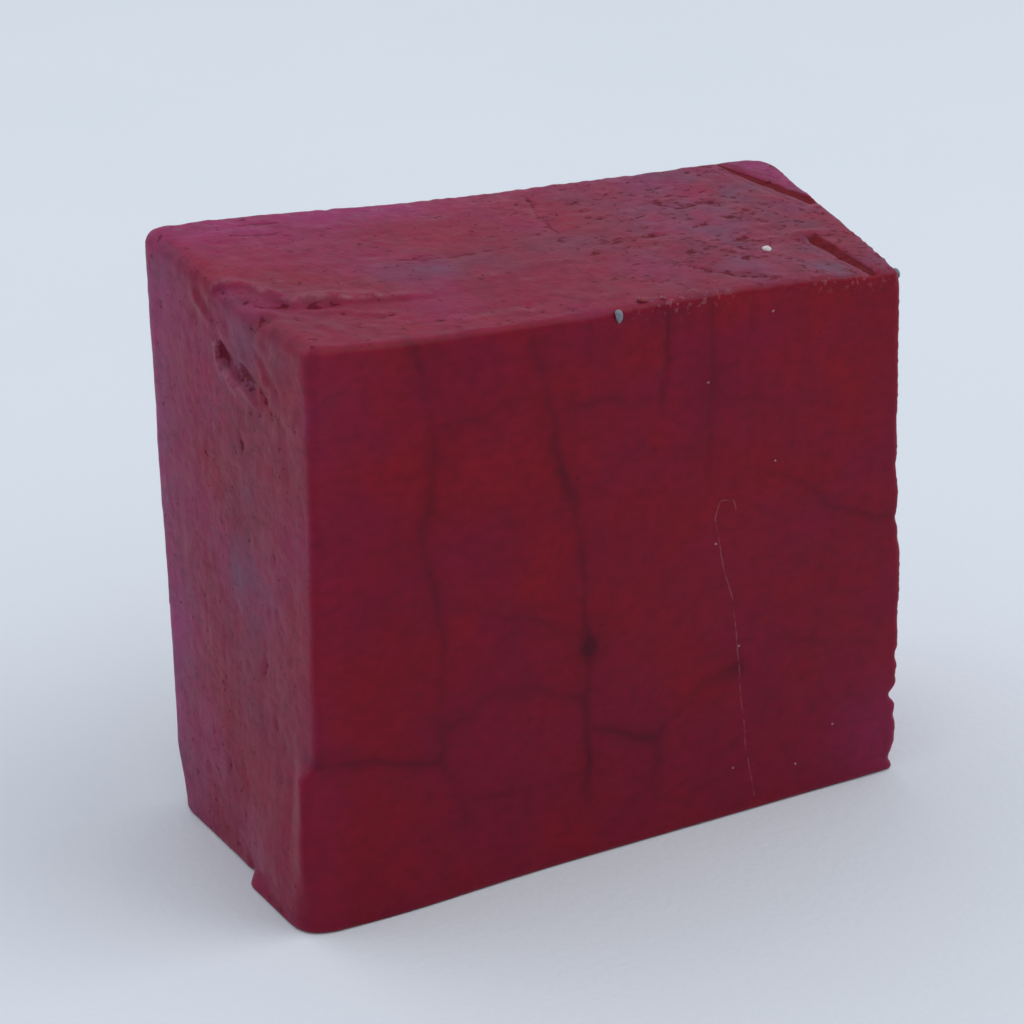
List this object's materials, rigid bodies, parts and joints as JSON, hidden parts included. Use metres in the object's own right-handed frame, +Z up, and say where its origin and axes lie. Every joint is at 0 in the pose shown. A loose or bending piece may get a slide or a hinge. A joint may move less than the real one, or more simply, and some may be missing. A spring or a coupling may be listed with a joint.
{
  "type": "clay bar",
  "caption": "Upright block of translucent crimson detailing clay for lifting bonded grit off car paint, used, with grit, crumbs and dust stuck in its skin",
  "frame": {"origin": "the middle of the flat base that the bar stands on", "axes": "+X along the large faces to the right, seen from the front; +Y from the front face to the back face; +Z up, out of the base"},
  "size_m": [0.0585, 0.0277, 0.051],
  "materials": {
    "clay": "satin",
    "clay_crumb": "satin",
    "white_grit": "satin",
    "clear_grit": "gloss",
    "dark_grit": "matte",
    "dust": "matte"
  },
  "bodies": {
    "root": {"clay_bar": "clay", "clay_crumbs": "clay_crumb", "white_grit": "white_grit", "clear_grit": "clear_grit", "corner_grit": "clear_grit", "buried_grit": "dark_grit", "dust_specks": "dust"}
  },
  "joints": []
}
